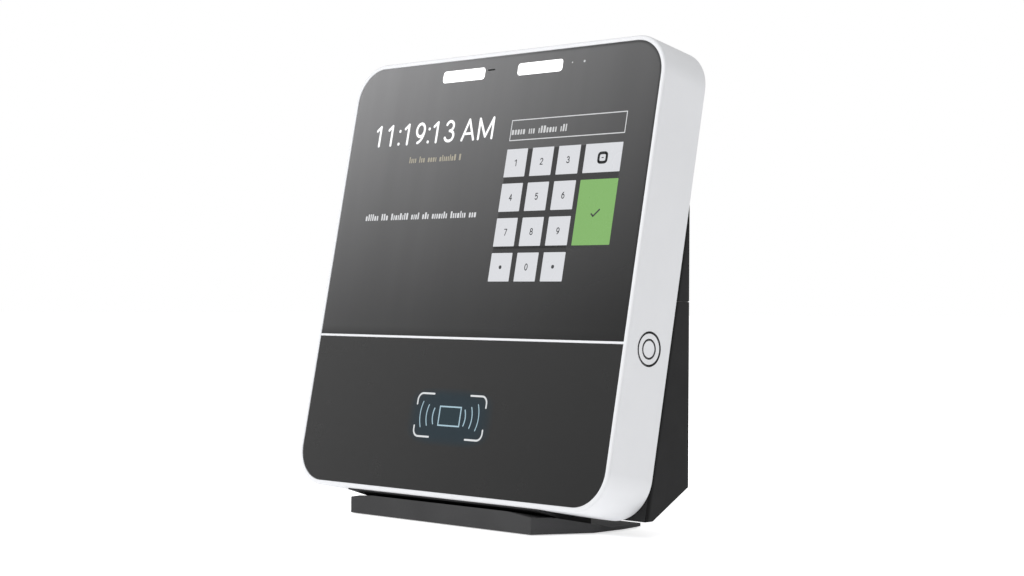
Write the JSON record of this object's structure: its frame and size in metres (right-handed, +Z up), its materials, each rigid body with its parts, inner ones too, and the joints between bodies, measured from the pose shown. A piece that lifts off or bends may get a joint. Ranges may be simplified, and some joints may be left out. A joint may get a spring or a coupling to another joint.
{
  "type": "fingerprint attendance terminal",
  "caption": "Desk-standing access terminal: leaning touch display in a white band with a card reader panel, a side finger sensor button, and a black wedge stand with a locking cable door.",
  "frame": {"origin": "centre of the bounding box on the desk surface, under the foot", "axes": "+Z up, +X across the face, +Y from the front to the back"},
  "size_m": [0.264, 0.0908, 0.2842],
  "materials": {
    "white_band": "smooth satin white moulding",
    "sensor_face": "smooth white sensor face",
    "black_glass": "back-printed black touch glass, polished",
    "reader_black": "polished black reader cover",
    "light_lens": "milky diffusing lens",
    "display_can": "display module in a pressed steel can",
    "stand_plastic": "fine textured black moulding",
    "cover_plastic": "fine textured black moulding",
    "foot_metal": "powder-coated steel",
    "rubber_pad": "soft rubber",
    "foam": "closed-cell foam",
    "board_green": "glass-epoxy circuit board",
    "copper_track": "copper winding",
    "led_body": "light-emitting diode packages",
    "black_moulding": "black moulded part",
    "ribbon_amber": "polyimide ribbon",
    "sheet_steel": "zinc-plated sheet steel",
    "screw_steel": "zinc-plated steel",
    "brass_standoff": "turned brass",
    "sink_aluminium": "extruded aluminium",
    "jack_shell": "nickel-plated shell",
    "cell_steel": "stainless coin cell",
    "speaker_black": "speaker frame",
    "speaker_paper": "pressed paper cone",
    "magnet_steel": "ferrite magnet",
    "guide_nylon": "natural nylon",
    "lock_chrome": "chromed zinc",
    "lock_zinc": "zinc-plated steel"
  },
  "bodies": {
    "terminal": {"bezel_frame": "white_band", "touch_glass": "black_glass", "reader_cover": "reader_black", "screen_gasket": "foam", "reader_gasket": "foam", "left_light_lens": "light_lens", "right_light_lens": "light_lens", "light_board": "board_green", "light_leds": "led_body", "microphone": "jack_shell", "presence_sensor": "black_moulding", "display_panel": "display_can", "display_frame": "sheet_steel", "display_screws": "screw_steel", "display_ribbon": "ribbon_amber", "touch_ribbon": "ribbon_amber", "antenna_board": "board_green", "antenna_coil": "copper_track", "symbol_light_guide": "light_lens", "reader_ribbon": "ribbon_amber", "main_board": "board_green", "board_standoffs": "brass_standoff", "board_screws": "screw_steel", "processor": "black_moulding", "heat_sink": "sink_aluminium", "ethernet_jack": "jack_shell", "usb_jack": "jack_shell", "power_jack": "black_moulding", "battery_holder": "black_moulding", "backup_battery": "cell_steel", "speaker_basket": "speaker_black", "speaker_cone": "speaker_paper", "speaker_magnet": "magnet_steel", "rear_cover": "cover_plastic", "cover_screws": "screw_steel", "button_guide": "guide_nylon", "guide_screws": "screw_steel", "return_spring": "screw_steel", "button_board": "board_green", "tact_switch": "black_moulding", "stand_shell": "stand_plastic", "stand_hood": "stand_plastic", "stand_screws": "screw_steel", "hinge_rod": "screw_steel", "neck_block": "stand_plastic", "foot_plate": "foot_metal", "foot_screws": "screw_steel", "front_pad": "rubber_pad", "rear_pads": "rubber_pad"},
    "button": {"finger_button": "white_band", "finger_sensor": "sensor_face", "sensor_board": "board_green", "button_clip": "screw_steel"},
    "door": {"cable_door": "stand_plastic", "lock_body": "lock_chrome", "lock_nut": "lock_zinc"},
    "lock": {"lock_plug": "lock_chrome", "lock_cam": "lock_zinc", "cam_screw": "screw_steel"}
  },
  "joints": [
    {"name": "finger_press", "type": "slide", "parent": "terminal", "child": "button", "axis": [-1, 0, 0], "range_m": [0, 0.0008], "stiffness_N_per_m": 800, "springref_m": -0.0015, "deforming": ["return_spring"]},
    {"name": "door_swing", "type": "hinge", "parent": "terminal", "child": "door", "pos_m": [0, 0.02451, 0.1176], "axis": [1, 0, 0], "range_deg": [0, 90]},
    {"name": "lock_turn", "type": "hinge", "parent": "door", "child": "lock", "pos_m": [0, 0.02851, 0.046], "axis": [0, 1, 0], "range_deg": [0, 90]}
  ]
}
